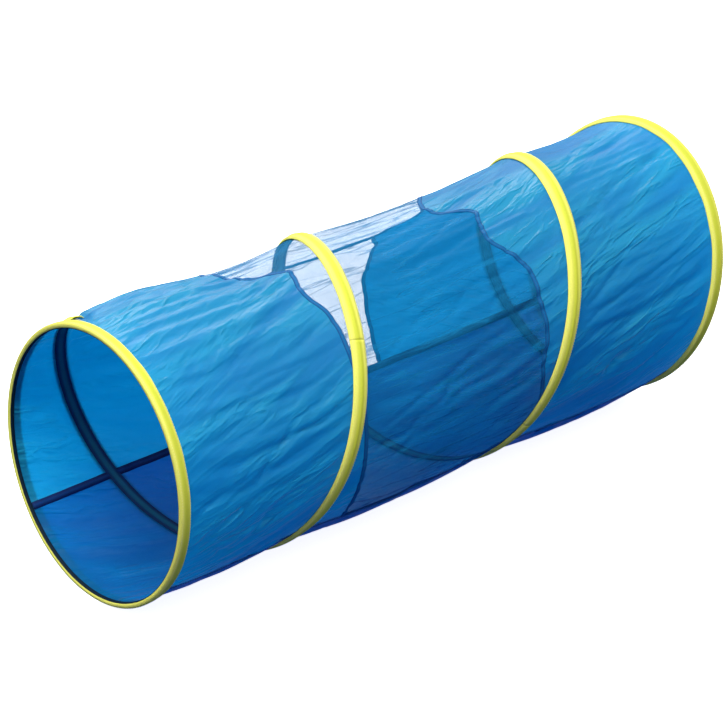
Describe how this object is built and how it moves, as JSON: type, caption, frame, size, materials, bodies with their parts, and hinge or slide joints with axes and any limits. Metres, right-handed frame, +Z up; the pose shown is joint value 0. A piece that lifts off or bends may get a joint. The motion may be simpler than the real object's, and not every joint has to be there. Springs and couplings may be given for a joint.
{
  "type": "agility tunnel",
  "caption": "Pop-up fabric tunnel for small pets, held open by a spring-wire spiral with a hoop at each mouth, with a mesh window band and yellow tape over the wire.",
  "frame": {"origin": "centre of the bounding box's base, on the surface that the tunnel stands on", "axes": "+X along the tunnel from the front mouth to the back mouth, +Z up; the side that shows the spiral's near arcs faces -Y"},
  "size_m": [1.0669, 0.4, 0.3988],
  "materials": {
    "yellow_tape": "woven polyester tape, matt",
    "blue_nylon": "thin plain-weave nylon, slight sheen",
    "floor_nylon": "plain-weave nylon, slight sheen",
    "blue_mesh": "fine see-through mesh",
    "navy_lining": "woven tape, matt",
    "navy_binding": "folded and stitched binding",
    "spring_steel": "drawn spring wire",
    "crimped_steel": "crimped sleeve"
  },
  "bodies": {
    "tunnel_front": {"spiral_wire_front": "spring_steel", "spiral_tape_front": "yellow_tape", "spiral_lining_front": "navy_lining", "front_upper_panel": "blue_nylon", "window_front_hem": "navy_binding"},
    "front_mouth": {"front_hoop_wire": "spring_steel", "front_ferrule": "crimped_steel", "front_rim_tape": "yellow_tape", "front_rim_lining": "navy_lining"},
    "tunnel_middle": {"spiral_wire_middle": "spring_steel", "spiral_tape_middle": "yellow_tape", "spiral_lining_middle": "navy_lining", "mesh_window": "blue_mesh", "window_back_hem": "navy_binding", "window_seam_tape": "navy_binding", "floor_panel": "floor_nylon", "near_seam_tape": "navy_binding", "far_seam_tape": "navy_binding"},
    "tunnel_rear": {"spiral_wire_rear": "spring_steel", "spiral_tape_rear": "yellow_tape", "spiral_lining_rear": "navy_lining", "rear_upper_panel": "blue_nylon"},
    "back_mouth": {"back_hoop_wire": "spring_steel", "back_ferrule": "crimped_steel", "back_rim_tape": "yellow_tape", "back_rim_lining": "navy_lining"}
  },
  "joints": [
    {"name": "tunnel_collapse", "type": "slide", "parent": "tunnel_front", "child": "tunnel_rear", "axis": [1, 0, 0], "range_m": [-0.89, 0], "stiffness_N_per_m": 12, "springref_m": 0.5, "deforming": ["spiral_wire_front", "spiral_tape_front", "spiral_lining_front", "front_upper_panel", "window_front_hem", "spiral_wire_middle", "spiral_tape_middle", "spiral_lining_middle", "mesh_window", "window_back_hem", "window_seam_tape", "floor_panel", "near_seam_tape", "far_seam_tape", "spiral_wire_rear", "spiral_tape_rear", "spiral_lining_rear", "rear_upper_panel"]},
    {"name": "middle_turn_slide", "type": "slide", "parent": "tunnel_front", "child": "tunnel_middle", "axis": [1, 0, 0], "range_m": [-0.445, 0]},
    {"name": "front_mouth_tilt", "type": "hinge", "parent": "tunnel_front", "child": "front_mouth", "pos_m": [-0.5335, 0, 0], "axis": [0, 1, 0], "range_deg": [-4.57, 0]},
    {"name": "back_mouth_tilt", "type": "hinge", "parent": "tunnel_rear", "child": "back_mouth", "pos_m": [0.4295, 0, 0], "axis": [0, 1, 0], "range_deg": [-14.57, 0]}
  ],
  "couplings": [
    {"joint": "middle_turn_slide", "follows": "tunnel_collapse", "ratio": 0.5},
    {"joint": "front_mouth_tilt", "follows": "tunnel_collapse", "rad_per_m": 0.08969},
    {"joint": "back_mouth_tilt", "follows": "tunnel_collapse", "rad_per_m": 0.2858}
  ]
}
